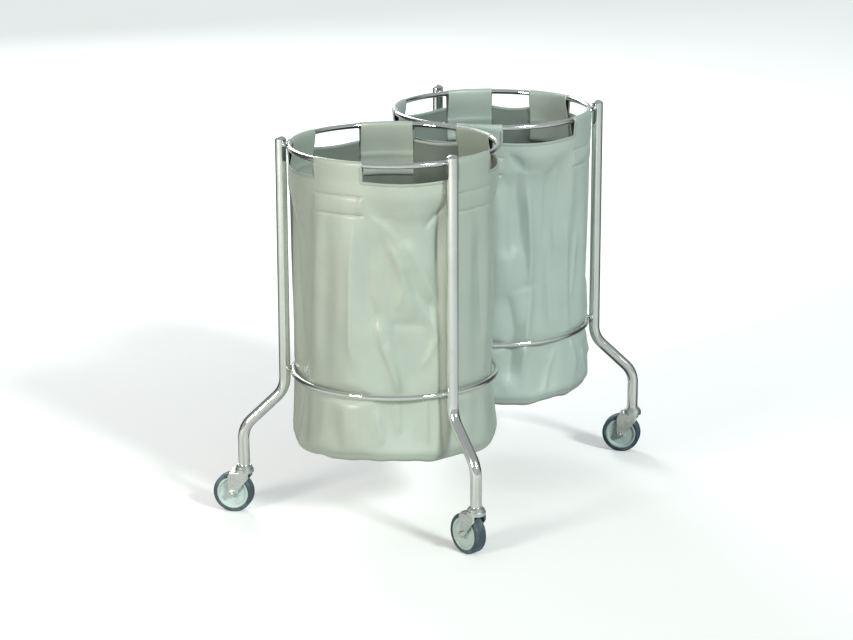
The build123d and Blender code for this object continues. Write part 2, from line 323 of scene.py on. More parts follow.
def wear_group():
    """Patches where handling has changed a surface: broad marks broken up by fine ones."""

    def build(tree, source, sink):
        broad = noise_node(tree, source.outputs["Vector"], source.outputs["Scale"], 4.0, 0.6)
        fine_scale = math_node(tree, "MULTIPLY", source.outputs["Scale"], 9.0)
        fine = noise_node(tree, source.outputs["Vector"], fine_scale, 3.0, 0.7)
        both = math_node(tree, "MULTIPLY", range_node(tree, broad, 0.45, 0.75), fine)
        worn = math_node(tree, "MULTIPLY", both, source.outputs["Amount"], clamp=True)
        join(tree, worn, sink.inputs["Mask"])

    return node_group("Handling wear", {"Vector": None, "Scale": 8.0, "Amount": 1.0}, ("Mask",), build)


def grain_group():
    """Fine surface grain, stretched along one direction by the vector that it is given."""

    def build(tree, source, sink):
        coarse = noise_node(tree, source.outputs["Vector"], source.outputs["Scale"], 5.0, 0.65)
        join(tree, coarse, sink.inputs["Height"])
        join(tree, range_node(tree, coarse, 0.3, 0.7), sink.inputs["Mask"])

    return node_group("Fine grain", {"Vector": None, "Scale": 300.0}, ("Height", "Mask"), build)


def dust_group():
    """Dust that settles on faces that look up."""

    def build(tree, source, sink):
        geometry = tree.nodes.new("ShaderNodeNewGeometry")
        parts = tree.nodes.new("ShaderNodeSeparateXYZ")
        join(tree, geometry.outputs["Normal"], parts.inputs[0])
        upward = range_node(tree, parts.outputs["Z"], 0.1, 0.95)
        speck = noise_node(tree, source.outputs["Vector"], source.outputs["Scale"], 5.0, 0.75)
        cover = math_node(tree, "MULTIPLY", upward, range_node(tree, speck, 0.4, 0.75))
        amount = math_node(tree, "MULTIPLY", cover, source.outputs["Amount"], clamp=True)
        join(tree, amount, sink.inputs["Mask"])

    return node_group("Settled dust", {"Vector": None, "Scale": 60.0, "Amount": 0.3}, ("Mask",), build)


def place_group(tree, group, vector, **values):
    node = tree.nodes.new("ShaderNodeGroup")
    node.node_tree = group
    for label, value in values.items():
        node.inputs[label].default_value = value
    join(tree, vector, node.inputs["Vector"])
    return node


def new_material(name, metallic, roughness, use_uv=False):
    """An empty material with its shader and its coordinates."""
    material = bpy.data.materials.new(name)
    material.use_nodes = True
    tree = material.node_tree
    shader = tree.nodes["Principled BSDF"]
    shader.inputs["Metallic"].default_value = metallic
    shader.inputs["Roughness"].default_value = roughness
    coordinates = tree.nodes.new("ShaderNodeTexCoord")
    return material, tree, shader, coordinates.outputs["UV" if use_uv else "Object"]


def bump(tree, shader, height, distance, strength=1.0):
    node = tree.nodes.new("ShaderNodeBump")
    node.inputs["Distance"].default_value = distance
    node.inputs["Strength"].default_value = strength
    join(tree, height, node.inputs["Height"])
    join(tree, node.outputs["Normal"], shader.inputs["Normal"])


def scaled(colour, factor):
    return tuple(min(1.0, channel * factor) for channel in colour)


# ---------------------------------------------------------------- materials

def chrome_material(name, colour, roughness, stain=0.35):
    """Bright plate with polishing marks, finger marks and a little dust."""
    material, tree, shader, where = new_material(name, 1.0, roughness)
    marks = place_group(tree, wear_group(), where, Scale=9.0, Amount=1.6)
    polish = place_group(tree, grain_group(), stretched(tree, where, (1, 1, 0.06)), Scale=900.0)
    dust = place_group(tree, dust_group(), where, Scale=70.0, Amount=0.25)
    dull = mixed(tree, marks.outputs["Mask"], colour, scaled(colour, 1 - stain * 0.5))
    join(tree, mixed(tree, dust.outputs["Mask"], dull, (0.62, 0.62, 0.60)), shader.inputs["Base Color"])
    smear = math_node(tree, "ADD", marks.outputs["Mask"], dust.outputs["Mask"])
    join(tree, range_node(tree, smear, 0.0, 1.0, roughness, roughness + 0.22), shader.inputs["Roughness"])
    bump(tree, shader, polish.outputs["Height"], 0.00002, 0.5)
    return material


def zinc_material(name, colour, roughness=0.26):
    """Zinc plate over pressed steel: soft spangle, scuffs and a dull film."""
    material, tree, shader, where = new_material(name, 1.0, roughness)
    spangle = tree.nodes.new("ShaderNodeTexVoronoi")
    spangle.inputs["Scale"].default_value = 340.0
    join(tree, where, spangle.inputs["Vector"])
    tone = range_node(tree, spangle.outputs["Distance"], 0.0, 0.8)
    marks = place_group(tree, wear_group(), where, Scale=30.0, Amount=1.8)
    plate = mixed(tree, tone, colour, scaled(colour, 0.86))
    worn = mixed(tree, marks.outputs["Mask"], plate, scaled(colour, 0.55))
    join(tree, worn, shader.inputs["Base Color"])
    join(
        tree,
        range_node(tree, marks.outputs["Mask"], 0.0, 1.0, roughness, roughness + 0.25),
        shader.inputs["Roughness"],
    )
    grain = place_group(tree, grain_group(), where, Scale=420.0)
    bump(tree, shader, grain.outputs["Height"], 0.00012, 0.5)
    return material


def moulded_material(name, colour, roughness, grain_depth=0.00006):
    """Moulded plastic with a fine grain, faint flow marks and dusty upper faces."""
    material, tree, shader, where = new_material(name, 0.0, roughness)
    marks = place_group(tree, wear_group(), where, Scale=24.0, Amount=1.5)
    grain = place_group(tree, grain_group(), where, Scale=650.0)
    dust = place_group(tree, dust_group(), where, Scale=120.0, Amount=0.35)
    scuffed = mixed(tree, marks.outputs["Mask"], colour, scaled(colour, 0.62))
    join(tree, mixed(tree, dust.outputs["Mask"], scuffed, (0.5, 0.5, 0.47)), shader.inputs["Base Color"])
    join(
        tree,
        range_node(tree, grain.outputs["Mask"], 0.0, 1.0, roughness - 0.06, roughness + 0.1),
        shader.inputs["Roughness"],
    )
    bump(tree, shader, grain.outputs["Height"], grain_depth)
    return material


def rubber_material(name, colour):
    """Tyre rubber, scuffed and dusty where it rolls."""
    material, tree, shader, where = new_material(name, 0.0, 0.55)
    shader.inputs["Specular IOR Level"].default_value = 0.4
    marks = place_group(tree, wear_group(), where, Scale=40.0, Amount=2.2)
    grain = place_group(tree, grain_group(), where, Scale=800.0)
    dust = place_group(tree, dust_group(), where, Scale=90.0, Amount=0.5)
    scuffed = mixed(tree, marks.outputs["Mask"], colour, scaled(colour, 2.6))
    join(tree, mixed(tree, dust.outputs["Mask"], scuffed, (0.32, 0.33, 0.33)), shader.inputs["Base Color"])
    join(
        tree,
        range_node(tree, marks.outputs["Mask"], 0.0, 1.0, 0.46, 0.8),
        shader.inputs["Roughness"],
    )
    bump(tree, shader, grain.outputs["Height"], 0.00012)
    return material


def cloth_material(name, colour, coated=True):
    """Twill under a satin film, with soft blotches and painted shade in the hollows between the threads.
    The uncoated face is plain and dull.
    """
    material, tree, shader, where = new_material(name, 0.0, 0.46, use_uv=True)
    shader.inputs["Specular IOR Level"].default_value = 0.70 if coated else 0.25
    shader.inputs["Sheen Weight"].default_value = 0.10
    shader.inputs["Sheen Roughness"].default_value = 0.45
    shader.inputs["Coat Weight"].default_value = 0.35 if coated else 0.0
    shader.inputs["Coat Roughness"].default_value = 0.24
    weave = place_group(tree, weave_group(), where, Scale=190.0)
    blotch = noise_node(tree, stretched(tree, where, (1.0, 0.45, 1.0)), 7.0, 3.0, 0.55)
    warm = (colour[0] * 1.14, colour[1] * 1.03, colour[2] * 0.95)
    cool = (colour[0] * 0.90, colour[1] * 0.99, colour[2] * 1.04)
    film = mixed(tree, range_node(tree, blotch, 0.35, 0.68), cool, warm)
    # Darker where the weave's height is low: painted shade in the hollows between the raised threads,
    # following the twill's pattern.
    threads = mixed(tree, weave.outputs["Thread"], scaled(colour, 0.80), film)
    slub = place_group(tree, grain_group(), stretched(tree, where, (1.0, 0.35, 1.0)), Scale=520.0)
    mottled = mixed(tree, slub.outputs["Mask"], scaled(colour, 0.84), threads)
    marks = place_group(tree, wear_group(), where, Scale=14.0, Amount=0.8)
    join(
        tree, mixed(tree, marks.outputs["Mask"], mottled, scaled(colour, 0.70)), shader.inputs["Base Color"]
    )
    dull, bright = (0.46, 0.31) if coated else (0.9, 0.8)
    join(
        tree,
        range_node(tree, weave.outputs["Thread"], 0.0, 1.0, dull, bright),
        shader.inputs["Roughness"],
    )
    bump(tree, shader, weave.outputs["Height"], 0.00022, 0.8)
    return material


def thread_material(name, colour):
    material, tree, shader, where = new_material(name, 0.0, 0.62)
    shader.inputs["Sheen Weight"].default_value = 0.3
    twist = place_group(tree, grain_group(), stretched(tree, where, (1, 1, 2.4)), Scale=1500.0)
    join(
        tree, mixed(tree, twist.outputs["Mask"], scaled(colour, 0.8), colour), shader.inputs["Base Color"]
    )
    bump(tree, shader, twist.outputs["Height"], 0.0001)
    return material


def dress(node_names, material):
    """Gives carried-over CAD nodes their material."""
    for name in node_names:
        shown = frame["nodes"][name]
        shown.data.materials.clear()
        shown.data.materials.append(material)


# ------------------------------------------------------------- mesh helpers

def add_mesh(name, vertices, faces, material, uv=None, smooth=True):
    mesh = bpy.data.meshes.new(name)
    mesh.from_pydata([tuple(map(float, v)) for v in vertices], [], [tuple(map(int, f)) for f in faces])
    if smooth:
        mesh.shade_smooth()
    if uv is not None:
        layer = mesh.uv_layers.new(name="Cloth")
        corner_vertex = np.zeros(len(mesh.loops), int)
        mesh.loops.foreach_get("vertex_index", corner_vertex)
        layer.data.foreach_set("uv", np.asarray(uv)[corner_vertex].ravel().astype(np.float32))
    mesh.materials.append(material)
    piece = bpy.data.objects.new(name, mesh)
    bpy.context.scene.collection.objects.link(piece)
    return piece


def sweep_section(path, normals, section, closed):
    """Vertices and faces of a section carried along a path. A section point is (along the
    surface and across the path, out of the surface)."""
    path = np.asarray(path)
    normals = np.asarray(normals)
    count = len(path)
    if closed:
        ahead = np.roll(path, -1, axis=0)
        behind = np.roll(path, 1, axis=0)
    else:
        ahead = np.vstack([path[1:], path[-1:]])
        behind = np.vstack([path[:1], path[:-1]])
    along = ahead - behind
    along /= np.linalg.norm(along, axis=1, keepdims=True)
    across = np.cross(normals, along)
    across /= np.linalg.norm(across, axis=1, keepdims=True)
    vertices = [
        path[i] + across[i] * side + normals[i] * out for i in range(count) for side, out in section
    ]
    size = len(section)
    faces = []
    for i in range(count if closed else count - 1):
        j = (i + 1) % count
        for k in range(size):
            m = (k + 1) % size
            faces.append((i * size + k, i * size + m, j * size + m, j * size + k))
    if not closed:
        faces.append(tuple(range(size - 1, -1, -1)))
        faces.append(tuple((count - 1) * size + k for k in range(size)))
    return vertices, faces


def flat_section(width, thickness, steps=4):
    """A flattened strip's section with round edges."""
    half = width / 2 - thickness / 2
    points = []
    for step in range(steps + 1):
        turn = -pi / 2 + pi * step / steps
        points.append((half + cos(turn) * thickness / 2, sin(turn) * thickness / 2))
    for step in range(steps + 1):
        turn = pi / 2 + pi * step / steps
        points.append((-half + cos(turn) * thickness / 2, sin(turn) * thickness / 2))
    return points


def outward(angles):
    """Level directions at angles in degrees."""
    return [(cos(radians(angle)), sin(radians(angle)), 0.0) for angle in angles]


def thicken(piece, thickness):
    """Gives a sheet its thickness, half on each side."""
    shell = piece.modifiers.new("Cloth thickness", "SOLIDIFY")
    shell.thickness = thickness
    shell.offset = 0.0
    return shell


def smooth_step(value):
    value = np.clip(value, 0.0, 1.0)
    return value * value * (3 - 2 * value)


# ------------------------------------------------------------------- bags

class BagShape:
    """Where one bag's cloth lies: its hoop, its tabs and its folded wall."""

    SEAM_WIDTH = 0.0028        # how wide a seam draws the cloth in
    BASE_SEAM = 0.011          # how far above the base's edge its stitches run
    CREASE = 0.28              # how round a fold's crest is: 0 is sharp
    BOTTOM_EDGE = 0.2085       # radius of the seam round the base
    TAB_GAP = 12.0             # degrees without cloth that part one tab from the next
    PROFILE_STEPS = 12         # steps between two heights of the wall's profile
    FOLD_TAPER = 0.22          # share of its route over which a fold fades at each end
    FOLD_START = 0.15          # how far that fade has come at the very end
    FOLD_FALLOFF = 1.25        # how fast a fold dies away to its sides
    HEM_START = 0.06           # below the hoop, where the hung sleeve's movement begins
    HEM_FADE = 0.11            # height over which that movement comes in
    # Uneven waves, as (noise scale round the bag, noise scale up it, depth).
    RIPPLES = ((2.6, 4.0, 0.0030), (9.0, 13.0, 0.0008))
    RIPPLE_SEED = {"left": 3.0, "right": 17.0}
    UPPER_PULL = 0.0017        # how deep each seam draws the cloth in
    LOWER_PULL = 0.0021
    HEM_PULL = 0.0014
    DOUBLE_CLOTH = 0.0020      # how far the cloth between a tab's seams stands out
    EDGE_MARGIN = 0.012        # above a cut-out's edge, where folds have died away
    EDGE_FADE = 0.06           # height over which they do
    BASE_FADE = 0.03           # and above the base, where they begin
    EDGE_DIP = 0.0035          # how far a cut-out's edge falls inwards at its middle
    SKIN_GAP = 0.0003          # least gap between the cloth and the frame
    HOOP_REACH = 0.8           # share of the rod's radius beside which the lower hoop holds the cloth
    HOOP_SLOPE = 0.75          # how fast the cloth may swell away from the lower hoop
    POST_REACH = 4.0           # degrees beside a post in which it holds the cloth
    POST_SLOPE = 0.0016        # how fast the cloth may swell beyond that, for each degree
    POST_FOOT = 0.02           # below the lower hoop, where the post bends away
    FREE_RADIUS = 1.0          # a limit too wide to hold anything
    FACING = 0.5               # cosine from which the cloth faces the other bag
    SOFTNESS = 0.0008          # how gently the cloth comes to rest on a limit
    COLUMN_STEP = 0.9          # degrees
    ROW_STEP = 0.0075
    ROW_GAP = 0.0022           # least height between a regular row and an added one
    BASE_ROWS = (0.0005, 0.001, 0.002, 0.004, 0.007, 0.011, 0.016, 0.022)
    BASE_ROWS_END = 0.029
    SEAM_ROWS = (-0.006, -0.0035, -0.0018, 0.0, 0.0018, 0.0035, 0.006)
    HOOP_ROWS = (-0.009, -0.004, 0.0, 0.004, 0.009)
    EDGE_ROW = 0.003           # the last row below a cut-out's edge
    SAG_FADE = 0.045
    WAVE_FADE = 0.09
    # Waves of the base's seam, as (waves round the bag, phase, depth).
    HEM_WAVES = ((7, 2.2, 0.0012), (12, 0.0, 0.001), (23, 0.0, 0.0007))
    # Height and radius of the wall, from the base's seam to the cut-outs' lower edge.
    WALL = (
        (0.1875, 0.2085), (0.1885, 0.2125), (0.1915, 0.2170), (0.2010, 0.2208), (0.2250, 0.2230),
        (0.2550, 0.2240), (0.2900, 0.2222), (0.3180, 0.2178), (0.3320, 0.2165), (0.3500, 0.2172),
        (0.4000, 0.2205), (0.5000, 0.2240), (0.6500, 0.2268), (0.8000, 0.2290),
    )
    # Where the base's seam droops, as (angle, half width in degrees, depth in millimetres).
    DROOPS = {
        "left": ((138, 27, 19), (278, 22, 16), (180, 16, 3), (236, 14, 4), (20, 30, 8), (340, 16, 5)),
        "right": ((228, 16, 4), (262, 14, 3), (300, 20, 7), (60, 26, 10), (130, 20, 6), (350, 16, 5)),
    }

    def __init__(self, side, settings):
        self.side = side
        self.settings = settings
        low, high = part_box(f"top_hoop_{side}")
        self.rod = (high.z - low.z) / 2
        self.centre = (low + high) / 2
        self.radius = (high.x - low.x) / 2 - self.rod
        self.wrap = self.rod + HOOP_CLEARANCE + settings.cloth / 2
        lower_low, lower_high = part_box(f"lower_hoop_{side}")
        self.lower_hoop = (lower_low.z + lower_high.z) / 2
        wall_low, wall_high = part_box(f"bag_wall_{side}")
        self.edge = wall_high.z
        self.bottom = wall_low.z
        self.inwards = 0.0 if side == "left" else 180.0
        self.arcs = self.tab_arcs()
        self.heights, self.radii = self.smooth_wall()
        self.post_angles = [-60.0, 60.0] if side == "right" else [120.0, 240.0]
        self.settled = None
        self.settled = self.hang()

    def tab_arcs(self):
        """First and last angle of each tab, read from the CAD tabs."""
        mesh = frame["nodes"][f"bag_tabs_{self.side}"].data
        angles = sorted(
            round(degrees(atan2(v.co.y - self.centre.y, v.co.x - self.centre.x)) % 360, 2)
            for v in mesh.vertices
        )
        breaks = [i for i in range(len(angles)) if (angles[i] - angles[i - 1]) % 360 > self.TAB_GAP]
        arcs = []
        for index, start in enumerate(breaks):
            last = breaks[(index + 1) % len(breaks)] - 1
            arcs.append((angles[start], angles[start] + (angles[last] - angles[start]) % 360))
        return sorted(arcs)

    def smooth_wall(self):
        """The wall's profile with its corners rounded."""
        knots = np.array(self.WALL)
        spans = [
            np.linspace(low, high, self.PROFILE_STEPS, endpoint=False)
            for low, high in zip(knots[:-1, 0], knots[1:, 0])
        ]
        heights = np.append(np.concatenate(spans), knots[-1, 0])
        slopes = np.gradient(knots[:, 1], knots[:, 0])
        slopes[0] = (knots[1, 1] - knots[0, 1]) / (knots[1, 0] - knots[0, 0])
        index = np.clip(np.searchsorted(knots[:, 0], heights, side="right") - 1, 0, len(knots) - 2)
        span = knots[index + 1, 0] - knots[index, 0]
        t = (heights - knots[index, 0]) / span
        start = 2 * t**3 - 3 * t**2 + 1
        end = 1 - start
        leave = (t**3 - 2 * t**2 + t) * span
        arrive = (t**3 - t**2) * span
        radii = (
            start * knots[index, 1]
            + end * knots[index + 1, 1]
            + leave * slopes[index]
            + arrive * slopes[index + 1]
        )
        return heights, radii

    def fold_offset(self, angle, height):
        """Outward push of every fold at arrays of angle in degrees and height in metres."""
        total = np.zeros(angle.shape)
        scale = self.radius * pi / 180
        for depth, width, route in BAG_FOLDS[self.side]:
            lengths = [
                hypot((b[0] - a[0]) * scale, (b[1] - a[1]) / 1000) for a, b in zip(route, route[1:])
            ]
            whole = sum(lengths)
            nearest = np.full(angle.shape, 1e9)
            place = np.zeros(angle.shape)
            travelled = 0.0
            for (a, b), length in zip(zip(route, route[1:]), lengths):
                u = ((angle - a[0] + 180) % 360 - 180) * scale
                v = height - a[1] / 1000
                du = (b[0] - a[0]) * scale
                dv = (b[1] - a[1]) / 1000
                t = np.clip((u * du + v * dv) / max(length**2, 1e-12), 0, 1)
                distance = np.hypot(u - t * du, v - t * dv)
                closer = distance < nearest
                nearest = np.where(closer, distance, nearest)
                place = np.where(closer, (travelled + t * length) / whole, place)
                travelled += length
            start = smooth_step(place / self.FOLD_TAPER + self.FOLD_START)
            taper = start * smooth_step((1 - place) / self.FOLD_TAPER + self.FOLD_START)
            away = np.sqrt((nearest / (width / 1000)) ** 2 + self.CREASE**2) - self.CREASE
            total += depth / 1000 * np.exp(-away * self.FOLD_FALLOFF) * taper
        return total * self.settings.fold_depth

    def hang(self):
        """Hangs slightly loose cloth by its tabs and base, and gives how far each point of a grid
        round and up the wall moves in or out."""
        around = SLEEVE_COLUMNS
        levels = np.linspace(self.bottom, self.edge, SLEEVE_ROWS)
        angles = np.arange(around) * 360.0 / around
        grid_angle, grid_height = np.meshgrid(angles, levels)
        start = self.wall_radius(grid_angle, grid_height, folded=False)
        turn = np.radians(grid_angle)
        places = np.stack(
            [self.centre.x + np.cos(turn) * start, self.centre.y + np.sin(turn) * start, grid_height], -1
        ).reshape(-1, 3)
        faces = []
        for row in range(len(levels) - 1):
            for k in range(around):
                m = (k + 1) % around
                low = row * around
                faces.append((low + k, low + m, low + around + m, low + around + k))
        mesh = bpy.data.meshes.new("hanging_cloth")
        mesh.from_pydata(places.tolist(), [], faces)
        trial = bpy.data.objects.new("hanging_cloth", mesh)
        scene = bpy.context.scene
        scene.collection.objects.link(trial)
        held = trial.vertex_groups.new(name="held")
        top = (len(levels) - 1) * around
        tabs = self.in_tab(angles, margin=1.0)
        held.add(list(range(around)), 1.0, "REPLACE")
        held.add([top + k for k in range(around) if tabs[k]], 1.0, "REPLACE")
        held.add([top + k for k in range(around) if not tabs[k]], EDGE_HOLD, "REPLACE")
        cloth = trial.modifiers.new("Hang", "CLOTH")
        cloth.settings.quality = 6
        cloth.settings.mass = 0.25
        cloth.settings.air_damping = 2.0
        cloth.settings.tension_stiffness = 25
        cloth.settings.compression_stiffness = 25
        cloth.settings.shear_stiffness = 10
        cloth.settings.bending_stiffness = 1.2
        cloth.settings.shrink_min = -self.settings.looseness
        cloth.settings.vertex_group_mass = "held"
        cloth.collision_settings.use_collision = False
        cloth.collision_settings.use_self_collision = False
        for step in range(1, HANG_FRAMES + 1):
            scene.frame_set(step)
        shown = trial.evaluated_get(bpy.context.evaluated_depsgraph_get())
        moved = np.zeros(len(places) * 3, np.float32)
        shown.data.vertices.foreach_get("co", moved)
        moved = moved.reshape(-1, 3)
        reach = np.hypot(moved[:, 0] - self.centre.x, moved[:, 1] - self.centre.y)
        bpy.data.objects.remove(trial)
        bpy.data.meshes.remove(mesh)
        scene.frame_set(1)
        shift = reach.reshape(start.shape) - start
        for _ in range(SMOOTHING_PASSES):
            shift = (np.roll(shift, 1, axis=1) + 2 * shift + np.roll(shift, -1, axis=1)) / 4
        return levels, np.clip(shift * SHIFT_SCALE, -SHIFT_LIMIT, SHIFT_LIMIT)

    def settled_offset(self, angle, height):
        """How far the hung cloth has moved at arrays of angle and height."""
        if self.settled is None:
            return np.zeros(np.broadcast(angle, height).shape)
        levels, shift = self.settled
        around = shift.shape[1]
        column = (angle % 360) / 360 * around
        just_inside = len(levels) - 1.001
        row = np.clip((height - levels[0]) / (levels[1] - levels[0]), 0, just_inside)
        k = np.floor(column).astype(int)
        i = np.floor(row).astype(int)
        u = column - k
        v = row - i
        m = (k + 1) % around
        k = k % around
        below = shift[i, k] * (1 - u) + shift[i, m] * u
        above = shift[i + 1, k] * (1 - u) + shift[i + 1, m] * u
        hem = smooth_step((self.centre.z - height - self.HEM_START) / self.HEM_FADE)
        flat = np.where(self.in_tab(angle, margin=2.0), hem, np.sqrt(hem))
        return (below * (1 - v) + above * v) * flat

    def in_tab(self, angle, margin=0.0):
        inside = np.zeros(angle.shape, bool)
        for first, last in self.arcs:
            inside |= (angle - first + margin) % 360 <= last - first + 2 * margin
        return inside

    def between_tabs(self, angle):
        """0 at a tab's edge and over a tab, 1 in the middle of a cut-out."""
        share = np.zeros(angle.shape)
        for index, (_, last) in enumerate(self.arcs):
            following = self.arcs[(index + 1) % len(self.arcs)][0]
            gap = (following - last) % 360
            t = ((angle - last) % 360) / gap
            share = np.where(t < 1, np.sin(pi * np.clip(t, 0, 1)), share)
        return share

    def ripple(self, angle, height):
        """Small uneven waves, longer up and down than round the bag."""
        flat = np.zeros(angle.size)
        seed = self.RIPPLE_SEED[self.side]
        for index, (turn, high) in enumerate(zip(np.radians(angle).ravel(), height.ravel())):
            for around, upward, depth in self.RIPPLES:
                spot = Vector((cos(turn) * around, sin(turn) * around + seed, high * upward))
                flat[index] += noise.noise(spot) * depth
        return flat.reshape(angle.shape)

    def seam_pull(self, angle, height):
        """Each seam draws the cloth in, and the double cloth between two seams stands proud."""
        upper = self.centre.z - self.settings.upper_seam
        lower = self.centre.z - self.settings.lower_seam
        pull = -self.UPPER_PULL * np.exp(-(((height - upper) / self.SEAM_WIDTH) ** 2))
        pull -= self.LOWER_PULL * np.exp(-(((height - lower) / self.SEAM_WIDTH) ** 2))
        proud = np.clip((height - lower) / (upper - lower), 0, 1)
        pull += self.DOUBLE_CLOTH * np.sin(pi * proud)
        base_seam = self.bottom + self.BASE_SEAM
        hem = -self.HEM_PULL * np.exp(-(((height - base_seam) / self.SEAM_WIDTH) ** 2))
        return np.where(self.in_tab(angle, margin=0.6), pull, 0.0) + hem

    def wall_radius(self, angle, height, folded=True):
        """Radius of the cloth's middle at arrays of angle and height."""
        angle = np.asarray(angle, float)
        height = np.asarray(height, float)
        radius = np.interp(height, self.heights, self.radii)
        free = smooth_step((self.edge + self.EDGE_MARGIN - height) / self.EDGE_FADE)
        base_hold = smooth_step((height - self.bottom) / self.BASE_FADE)
        relief = self.ripple(angle, height)
        if folded:
            relief = relief + self.fold_offset(angle, height) + self.settled_offset(angle, height)
        radius = radius + relief * free * base_hold
        drop = np.exp(-np.clip(self.edge - height, 0, None) / self.EDGE_FADE)
        radius -= self.EDGE_DIP * self.between_tabs(angle) * drop
        radius += self.seam_pull(angle, height)
        return self.hold_in(radius, angle, height)

    def hold_in(self, radius, angle, height):
        """Keeps the cloth inside the lower hoop, the posts and its own half."""
        skin = self.settings.cloth / 2 + self.SKIN_GAP
        hoop_limit = self.radius - self.rod - skin
        beside = np.clip(np.abs(height - self.lower_hoop) - self.rod * self.HOOP_REACH, 0, None)
        limit = hoop_limit + beside * self.HOOP_SLOPE
        for post in self.post_angles:
            aside = np.abs((angle - post + 180) % 360 - 180)
            beyond = np.clip(aside - self.POST_REACH, 0, None) * self.POST_SLOPE
            reach = self.radius + self.rod - skin + beyond
            above = np.where(height > self.lower_hoop - self.POST_FOOT, reach, self.FREE_RADIUS)
            limit = np.minimum(limit, above)
        toward = np.radians((angle - self.inwards + 180) % 360 - 180)
        half_gap = abs(self.centre.x) - skin
        facing = np.cos(toward)
        own_half = half_gap / np.maximum(facing, self.FACING)
        limit = np.minimum(limit, np.where(facing > self.FACING, own_half, self.FREE_RADIUS))
        return limit - self.SOFTNESS * np.logaddexp(0, (limit - radius) / self.SOFTNESS)

    def columns(self):
        """Angles round the bag, with one exactly at each tab's edge."""
        marks = []
        for index, (first, last) in enumerate(self.arcs):
            following = self.arcs[(index + 1) % len(self.arcs)][0]
            for a, b in ((first, last), (last, last + (following - last) % 360)):
                count = max(2, round((b - a) / self.COLUMN_STEP))
                marks += [a + (b - a) * k / count for k in range(count)]
        return np.array(marks)

    def rows(self):
        """Heights up the wall, closer together at the base, lower hoop and seams."""
        fine = [self.bottom + lift for lift in self.BASE_ROWS]
        last_regular = self.edge - 0.004
        regular = np.arange(self.bottom + self.BASE_ROWS_END, last_regular, self.ROW_STEP)
        extra = [self.lower_hoop + step for step in self.HOOP_ROWS]
        for depth in (self.settings.upper_seam, self.settings.lower_seam):
            extra += [self.centre.z - depth + step for step in self.SEAM_ROWS]
        kept = [h for h in regular if min(abs(h - e) for e in extra) > self.ROW_GAP]
        return np.array(sorted(fine + kept + extra + [self.edge - self.EDGE_ROW, self.edge]))

    def settle(self, angle, height):
        """Height after the cut-outs' lower edges sag and the base's seam waves."""
        sag = self.settings.edge_sag * self.between_tabs(angle)
        near_edge = np.exp(-np.clip(self.edge - height, 0, None) / self.SAG_FADE)
        turn = np.radians(angle)
        wave = np.zeros(turn.shape)
        for waves_round, phase, depth in self.HEM_WAVES:
            wave = wave + depth * np.sin(waves_round * turn + phase)
        for middle, width, depth in self.DROOPS[self.side]:
            away = (angle - middle + 180) % 360 - 180
            wave = wave - depth / 1000 * np.exp(-((away / width) ** 2))
        near_base = smooth_step(1 - (height - self.bottom) / self.WAVE_FADE)
        return height - sag * near_edge + wave * near_base

    def point(self, angle, radius, height):
        turn = radians(angle)
        return (self.centre.x + cos(turn) * radius, self.centre.y + sin(turn) * radius, height)


def build_bag(shape, material, shaded_lining):
    """Wall, tabs and inner flaps as one cloth, coated outside. The inside face takes its own darker
    material, which paints the shade inside the bag.
    """
    angles = shape.columns()
    heights = shape.rows()
    grid_angle, grid_height = np.meshgrid(angles, heights)
    radius = shape.wall_radius(grid_angle, grid_height)
    settled = shape.settle(grid_angle, grid_height)
    tab = shape.in_tab(angles, margin=0.001)
    layers = [(radius[i], settled[i], heights[i]) for i in range(len(heights))]
    wall_rows = len(layers)

    top_radius = radius[-1]
    for step in range(1, RISE_STEPS):
        t = step / RISE_STEPS
        out = top_radius + (shape.radius + shape.wrap - top_radius) * t
        height = settled[-1] + (shape.centre.z - settled[-1]) * t
        layers.append((out, height, shape.edge + TAB_RISE * t))
    for step in range(WRAP_STEPS + 1):
        turn = pi * step / WRAP_STEPS
        out = np.full(angles.shape, shape.radius + cos(turn) * shape.wrap)
        height = np.full(angles.shape, shape.centre.z + sin(turn) * shape.wrap)
        layers.append((out, height, shape.centre.z + shape.wrap * turn))
    for step in range(1, FLAP_ROWS + 1):
        depth = shape.settings.flap * step / FLAP_ROWS
        height = np.full(angles.shape, shape.centre.z - depth)
        below = shape.wall_radius(angles, np.minimum(height, shape.edge))
        lean = smooth_step(depth / FLAP_LEAN)
        inside = below - shape.settings.cloth - FLAP_GAP
        out = (shape.radius - shape.wrap) * (1 - lean) + inside * lean
        layers.append((out, height, shape.centre.z + shape.wrap * pi + depth))

    count = len(angles)
    vertices = []
    uv = []
    for out, height, along in layers:
        for k in range(count):
            vertices.append(shape.point(angles[k], out[k], height[k]))
            uv.append((radians(angles[k]) * shape.radius, along))
    faces = []
    for row in range(len(layers) - 1):
        for k in range(count):
            m = (k + 1) % count
            same_tab = tab[k] and tab[m] and (angles[m] - angles[k]) % 360 < WIDEST_COLUMN
            if row >= wall_rows - 1 and not same_tab:
                continue
            faces.append((row * count + k, row * count + m, (row + 1) * count + m, (row + 1) * count + k))
    used = sorted({index for face in faces for index in face})
    renumber = {old: new for new, old in enumerate(used)}
    faces = [tuple(renumber[index] for index in face) for face in faces]
    piece = add_mesh(
        f"bag_cloth_{shape.side}", [vertices[i] for i in used], faces, material, [uv[i] for i in used]
    )
    piece.data.materials.append(shaded_lining)
    thicken(piece, shape.settings.cloth).material_offset = 1
    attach(piece, FRAME_BODY)
    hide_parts(f"bag_wall_{shape.side}", f"bag_tabs_{shape.side}")
    return piece


